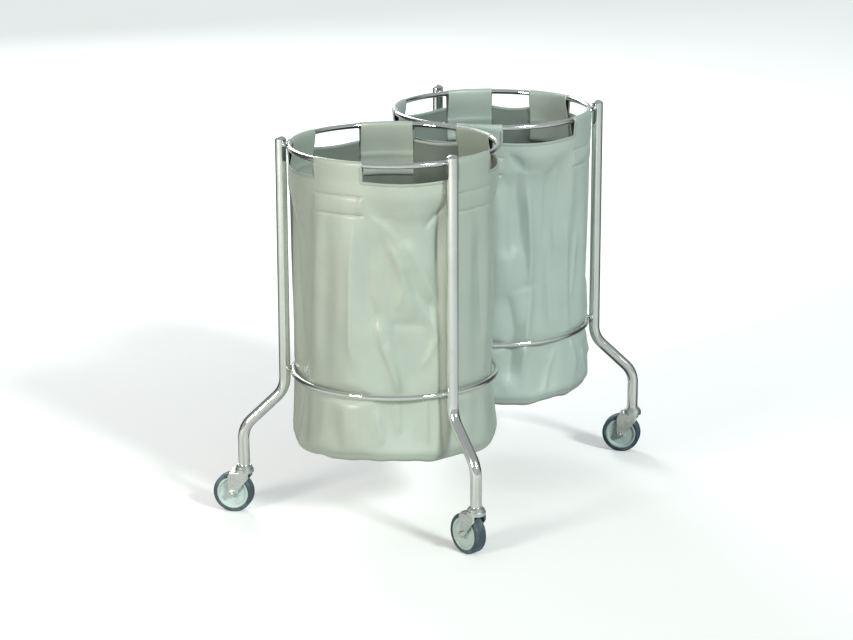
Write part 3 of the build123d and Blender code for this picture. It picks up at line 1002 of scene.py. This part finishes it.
def build_base(shape, material):
    """Round base panel, sagging a little, with its own shallow creases."""
    rings = BASE_RINGS
    spokes = BASE_SPOKES
    vertices = [(shape.centre.x, shape.centre.y, shape.bottom - BASE_SAG)]
    uv = [(0.0, 0.0)]
    for ring in range(1, rings + 1):
        share = ring / rings
        for spoke in range(spokes):
            angle = 360 * spoke / spokes
            edge_height = float(shape.settle(np.array(angle), np.array(shape.bottom + BASE_LIFT)))
            radius = shape.BOTTOM_EDGE * share
            turn = radians(angle)
            spot = Vector((cos(turn) * share * DENT_SCALE, sin(turn) * share * DENT_SCALE, DENT_SEED))
            dent = noise.noise(spot) * DENT_DEPTH
            sag = -BASE_SAG * (1 - share**2)
            rim = (edge_height - shape.bottom) * share**2
            height = shape.bottom + sag + (dent * (1 - share) ** 0.5) + rim
            vertices.append(shape.point(angle, radius, height))
            uv.append((cos(turn) * radius, sin(turn) * radius))
    faces = [(0, 1 + k, 1 + (k + 1) % spokes) for k in range(spokes)]
    for ring in range(rings - 1):
        for k in range(spokes):
            m = (k + 1) % spokes
            a = 1 + ring * spokes
            b = a + spokes
            faces.append((a + k, b + k, b + m, a + m))
    piece = add_mesh(f"bag_base_cloth_{shape.side}", vertices, faces, material, uv)
    thicken(piece, shape.settings.cloth)
    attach(piece, FRAME_BODY)
    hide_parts(f"bag_base_{shape.side}")
    return piece


def build_base_piping(shape, material):
    """Corded seam where the wall meets the base."""
    angles = np.arange(0, 360, 1.5)
    heights = shape.settle(angles, np.full(angles.shape, shape.bottom + BASE_LIFT))
    offset = 0.0006
    path = [shape.point(a, shape.BOTTOM_EDGE + offset, h - offset) for a, h in zip(angles, heights)]
    cord_radius = 0.0019
    sides = 10
    side_width = 0.0012
    turns = [2 * pi * k / sides for k in range(sides)]
    section = [(cos(turn) * cord_radius, sin(turn) * cord_radius) for turn in turns]
    vertices, faces = sweep_section(path, outward(angles), section, closed=True)
    uv = [
        (radians(angles[i // sides]) * shape.radius, (i % sides) * side_width)
        for i in range(len(vertices))
    ]
    piece = add_mesh(f"base_piping_{shape.side}", vertices, faces, material, uv)
    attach(piece, FRAME_BODY)
    return piece


def build_bindings(shape, material):
    """Folded binding along each cut-out's lower edge and up both its sides."""
    folded_tape = 0.0014
    lap = 0.30
    section = flat_section(shape.settings.binding, shape.settings.cloth + folded_tape)
    all_vertices = []
    all_faces = []
    uv = []
    for index, (_, last) in enumerate(shape.arcs):
        following = shape.arcs[(index + 1) % len(shape.arcs)][0]
        gap = (following - last) % 360
        inset = degrees(shape.settings.binding * lap / shape.radius)
        across = np.linspace(last - inset, last + gap + inset, max(8, int(gap)))
        level = np.full(across.shape, shape.edge)
        radius = shape.wall_radius(across, level)
        height = shape.settle(across, level) - shape.settings.binding * lap
        hoop = shape.radius + shape.wrap
        path = []
        turns = []
        climb = np.linspace(0.88, 0.12, 7)
        for share in climb:
            out = radius[0] + (hoop - radius[0]) * share
            path.append(shape.point(across[0], out, height[0] + (shape.centre.z - height[0]) * share))
            turns.append(across[0])
        for angle, out, high in zip(across, radius, height):
            path.append(shape.point(angle, out, high))
            turns.append(angle)
        for share in climb[::-1]:
            out = radius[-1] + (hoop - radius[-1]) * share
            path.append(shape.point(across[-1], out, height[-1] + (shape.centre.z - height[-1]) * share))
            turns.append(across[-1])
        vertices, faces = sweep_section(path, outward(turns), section, closed=False)
        start = len(all_vertices)
        all_vertices += vertices
        all_faces += [tuple(start + k for k in face) for face in faces]
        uv += [(radians(turns[i // len(section)]) * shape.radius, v[2]) for i, v in enumerate(vertices)]
    piece = add_mesh(f"cutout_binding_{shape.side}", all_vertices, all_faces, material, uv)
    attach(piece, FRAME_BODY)
    return piece


def build_stitching(shape, material):
    """Two rows of stitches across each tab, and one round the base."""
    stitch = shape.settings.stitch
    pitch = stitch * 1.5
    margin = 0.8
    lines = []
    for first, last in shape.arcs:
        for depth in (shape.settings.upper_seam, shape.settings.lower_seam):
            lines.append((first + margin, last - margin, shape.centre.z - depth))
    lines.append((0.0, 360.0, shape.bottom + shape.BASE_SEAM))
    sides = 6
    thread = 0.00038
    # A stitch's five rings, as (place along it, height over the cloth in millimetres, girth).
    rings = ((-1, -0.2, 0.55), (-0.5, 0.25, 1.0), (0, 0.4, 1.0), (0.5, 0.25, 1.0), (1, -0.2, 0.55))
    last_ring = len(rings) - 1
    rise = np.array([height for _, height, _ in rings])
    vertices = []
    faces = []
    for first, last, level in lines:
        count = int(radians(last - first) * shape.radius / pitch)
        middles = first + (np.arange(count) + 0.5) * (last - first) / count
        reach = degrees(stitch / 2 / shape.radius)
        ends = np.stack([middles + reach * place for place, _, _ in rings])
        level_grid = np.full(ends.shape, level)
        out = shape.wall_radius(ends, level_grid) + shape.settings.cloth / 2
        out = out + rise[:, None] * 0.001
        high = shape.settle(ends, level_grid)
        for k in range(count):
            start = len(vertices)
            for row in range(len(rings)):
                middle = Vector(shape.point(ends[row, k], out[row, k], high[row, k]))
                away = Vector(outward([ends[row, k]])[0])
                girth = thread * rings[row][2]
                for corner in range(sides):
                    swing = 2 * pi * corner / sides
                    upward = Vector((0, 0, sin(swing) * girth))
                    vertices.append(middle + away * cos(swing) * girth + upward)
            for row in range(last_ring):
                a = start + row * sides
                for corner in range(sides):
                    n = (corner + 1) % sides
                    faces.append((a + corner, a + n, a + sides + n, a + sides + corner))
            faces.append(tuple(start + corner for corner in range(sides - 1, -1, -1)))
            faces.append(tuple(start + last_ring * sides + corner for corner in range(sides)))
    piece = add_mesh(f"stitching_{shape.side}", vertices, faces, material)
    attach(piece, FRAME_BODY)
    return piece


# ---------------------------------------------------------------- operators

class TrolleyOperator(bpy.types.Operator):
    """Common settings of the operators."""

    bl_options = {"REGISTER", "UNDO"}

    def settings(self, context):
        return context.scene.linen_trolley


class TROLLEY_OT_plated_frame(TrolleyOperator):
    """Finish the legs, hoops, post caps and weld beads"""

    bl_idname = "linen_trolley.plated_frame"
    bl_label = "Plated frame"

    def execute(self, context):
        chosen = self.settings(context).frame
        tube = chrome_material("Chromed tube", chosen.chrome, chosen.roughness)
        rod = chrome_material("Chromed rod", chosen.chrome, chosen.roughness * 0.8)
        bead = chrome_material("Chromed weld", scaled(chosen.chrome, 0.92), chosen.roughness + 0.14, 0.6)
        dress([f"leg_{corner}" for corner in CORNERS], tube)
        dress([f"post_cap_{corner}" for corner in CORNERS], tube)
        dress([f"{level}_hoop_{side}" for level in ("top", "lower") for side in SIDES], rod)
        dress(["weld_beads"], bead)
        return {"FINISHED"}


class TROLLEY_OT_casters(TrolleyOperator):
    """Finish the casters"""

    bl_idname = "linen_trolley.casters"
    bl_label = "Casters"

    def execute(self, context):
        chosen = self.settings(context).caster
        zinc = zinc_material("Zinc plate", chosen.zinc)
        ground = zinc_material("Ground steel", (0.56, 0.57, 0.58), 0.2)
        hub = moulded_material("Moulded wheel centre", chosen.hub, 0.42)
        socket = moulded_material("Stem socket plastic", (0.02, 0.02, 0.022), 0.5)
        tyre = rubber_material("Tyre rubber", chosen.tyre)
        finishes = {
            "fork": zinc,
            "swivel_cap": zinc,
            "swivel_stem": zinc,
            "axle_bolt": zinc,
            "axle_nut": zinc,
            "swivel_balls": ground,
            "wheel_bush": ground,
            "wheel_hub": hub,
            "stem_socket": socket,
            "tyre": tyre,
        }
        for kind, material in finishes.items():
            dress([f"{kind}_{corner}" for corner in CORNERS], material)
        return {"FINISHED"}


class TROLLEY_OT_bags(TrolleyOperator):
    """Hang both cloth bags, with their bases, bindings and stitching"""

    bl_idname = "linen_trolley.bags"
    bl_label = "Cloth bags"

    def execute(self, context):
        chosen = self.settings(context).bag
        thread = thread_material("Sewing thread", chosen.thread_colour)
        for side, colour in zip(SIDES, (chosen.left_colour, chosen.right_colour)):
            shape = BagShape(side, chosen)
            cloth = cloth_material(f"Coated twill {side}", tuple(colour))
            edge = cloth_material(f"Binding tape {side}", scaled(tuple(colour), 0.82))
            # The inside face is the cloth colour at 48%: partly the duller uncoated back, partly painted
            # shade for the dim inside of the bag.
            shaded_lining = cloth_material(f"Uncoated inside with painted shade {side}", scaled(tuple(colour), 0.48), coated=False)
            body = build_bag(shape, cloth, shaded_lining)
            base = build_base(shape, cloth)
            binding = build_bindings(shape, edge)
            stitching = build_stitching(shape, thread)
            piping = build_base_piping(shape, edge)
        return {"FINISHED"}


class TROLLEY_OT_stage(TrolleyOperator):
    """Floor, soft light and camera"""

    bl_idname = "linen_trolley.stage"
    bl_label = "Stage"

    def execute(self, context):
        chosen = self.settings(context).stage
        build_floor(chosen.floor)
        build_lights()
        build_camera(context.scene, chosen)
        return {"FINISHED"}


def build_floor(colour):
    """Pale floor. Only the camera sees it this pale: the object sees the darker room in it."""
    reach = 30.0
    steps = 96
    camera_glow = 0.12
    vertices = [(cos(2 * pi * k / steps) * reach, sin(2 * pi * k / steps) * reach, 0) for k in range(steps)]
    material, tree, shader, where = new_material("Pale floor", 0.0, 0.75)
    cloud = noise_node(tree, where, 1.4, 3.0)
    shade = mixed(tree, range_node(tree, cloud, 0.3, 0.7), tuple(colour), scaled(tuple(colour), 0.975))
    path = tree.nodes.new("ShaderNodeLightPath")
    walls, _ = room_tone(tree, where)
    join(tree, mixed(tree, path.outputs["Is Camera Ray"], walls, shade), shader.inputs["Base Color"])
    lift = math_node(tree, "MULTIPLY", path.outputs["Is Camera Ray"], camera_glow)
    shader.inputs["Emission Color"].default_value = (1.0, 1.0, 1.0, 1.0)
    join(tree, lift, shader.inputs["Emission Strength"])
    floor = add_mesh("floor", vertices, [tuple(range(steps))], material, smooth=False)


def stand_off(turn, rise):
    """Direction from a target to whatever looks at it. A turn of 0 stands at -Y."""
    return Vector((sin(turn) * cos(rise), -cos(turn) * cos(rise), sin(rise)))


def aim(lamp, azimuth, elevation, distance, target=(0, 0, 0.45)):
    """Stands a light off its target, at angles in degrees, and points it there."""
    back = stand_off(radians(azimuth), radians(elevation))
    lamp.location = Vector(target) + back * distance
    lamp.rotation_euler = back.to_track_quat("Z", "Y").to_euler()
    bpy.context.scene.collection.objects.link(lamp)


def area_light(name, azimuth, elevation, distance, size, power, colour):
    light = bpy.data.lights.new(name, "AREA")
    light.shape = "SQUARE"
    light.size = size
    light.energy = power
    light.color = colour
    aim(bpy.data.objects.new(name, light), azimuth, elevation, distance)


def build_lights():
    key = bpy.data.lights.new("Key light", "SUN")
    key.energy = 2.6
    key.angle = radians(11)
    key.color = (0.90, 1.0, 0.965)
    aim(bpy.data.objects.new("Key light", key), azimuth=-20, elevation=30, distance=5.0)
    area_light(
        "Warm softbox",
        azimuth=-103,
        elevation=14,
        distance=6.0,
        size=1.3,
        power=205,
        colour=(1.0, 0.94, 0.82),
    )
    area_light(
        "Back softbox",
        azimuth=140,
        elevation=26,
        distance=6.0,
        size=2.2,
        power=150,
        colour=(0.95, 0.99, 1.0),
    )
    build_world()


# Brightness of the room by bearing, as (share of a full turn, tone).
ROOM_TONES = (
    (0.00, 0.58), (0.08, 0.50), (0.13, 0.66), (0.22, 0.62), (0.28, 0.40), (0.36, 0.58),
    (0.42, 0.40), (0.455, 0.07), (0.54, 0.06), (0.58, 0.45), (0.66, 0.66), (0.75, 0.45),
    (0.79, 0.07), (0.875, 0.06), (0.91, 0.46), (1.00, 0.58),
)


def room_tone(tree, vector):
    """Pale walls with darker gaps between them, by bearing round the middle of the room."""
    parts = tree.nodes.new("ShaderNodeSeparateXYZ")
    join(tree, vector, parts.inputs[0])
    bearing = math_node(tree, "ARCTAN2", parts.outputs["X"], parts.outputs["Y"])
    walls = tree.nodes.new("ShaderNodeValToRGB")
    join(tree, range_node(tree, bearing, -pi, pi), walls.inputs["Fac"])
    ramp = walls.color_ramp
    while len(ramp.elements) < len(ROOM_TONES):
        ramp.elements.new(0.5)
    for element, (place, tone) in zip(ramp.elements, ROOM_TONES):
        element.position = place
        element.color = (tone * 0.98, tone, tone * 0.99, 1.0)
    return walls.outputs["Color"], parts.outputs["Z"]


def build_world():
    world = bpy.data.worlds.new("Studio")
    bpy.context.scene.world = world
    world.use_nodes = True
    tree = world.node_tree
    background = tree.nodes["Background"]
    coordinates = tree.nodes.new("ShaderNodeTexCoord")
    walls, rise = room_tone(tree, coordinates.outputs["Generated"])
    sky = mixed(tree, range_node(tree, rise, 0.3, 0.7), walls, (0.46, 0.50, 0.51))
    join(tree, sky, background.inputs["Color"])
    background.inputs["Strength"].default_value = 0.78


def build_camera(scene, chosen):
    camera_data = bpy.data.cameras.new("Camera")
    camera_data.lens = chosen.lens
    camera_data.sensor_width = 36.0
    camera_data.clip_end = 100.0
    camera = bpy.data.objects.new("Camera", camera_data)
    azimuth = chosen.azimuth
    back = stand_off(azimuth, chosen.elevation)
    target = Vector(
        (-cos(azimuth) * chosen.aside, -sin(azimuth) * chosen.aside, chosen.target_height)
    )
    camera.location = target + back * chosen.distance
    look = back.to_track_quat("Z", "Y")
    camera.rotation_euler = (look @ Euler((0, 0, chosen.roll)).to_quaternion()).to_euler()
    scene.collection.objects.link(camera)
    scene.camera = camera
    scene.view_settings.view_transform = "Standard"


class TROLLEY_PT_panel(bpy.types.Panel):
    """Sidebar panel with the trolley's settings and operators"""

    bl_idname = "TROLLEY_PT_panel"
    bl_label = "Linen trolley"
    bl_space_type = "VIEW_3D"
    bl_region_type = "UI"
    bl_category = "Trolley"

    def draw(self, context):
        chosen = context.scene.linen_trolley
        for operator in OPERATORS:
            self.layout.operator(operator.bl_idname)
        for group in (chosen.bag, chosen.frame, chosen.caster, chosen.stage):
            box = self.layout.box()
            for name in group.__annotations__:
                box.prop(group, name)


OPERATORS = (TROLLEY_OT_plated_frame, TROLLEY_OT_casters, TROLLEY_OT_bags, TROLLEY_OT_stage)
CLASSES = (
    TrolleyBagProperties,
    TrolleyFrameProperties,
    TrolleyCasterProperties,
    TrolleyStageProperties,
    TrolleyProperties,
    *OPERATORS,
    TROLLEY_PT_panel,
)


def register():
    for cls in CLASSES:
        bpy.utils.register_class(cls)
    bpy.types.Scene.linen_trolley = PointerProperty(type=TrolleyProperties)


def unregister():
    del bpy.types.Scene.linen_trolley
    for cls in reversed(CLASSES):
        bpy.utils.unregister_class(cls)


def main():
    register()
    bpy.ops.linen_trolley.plated_frame()
    bpy.ops.linen_trolley.casters()
    bpy.ops.linen_trolley.bags()
    bpy.ops.linen_trolley.stage()


if __name__ == "__main__":
    main()
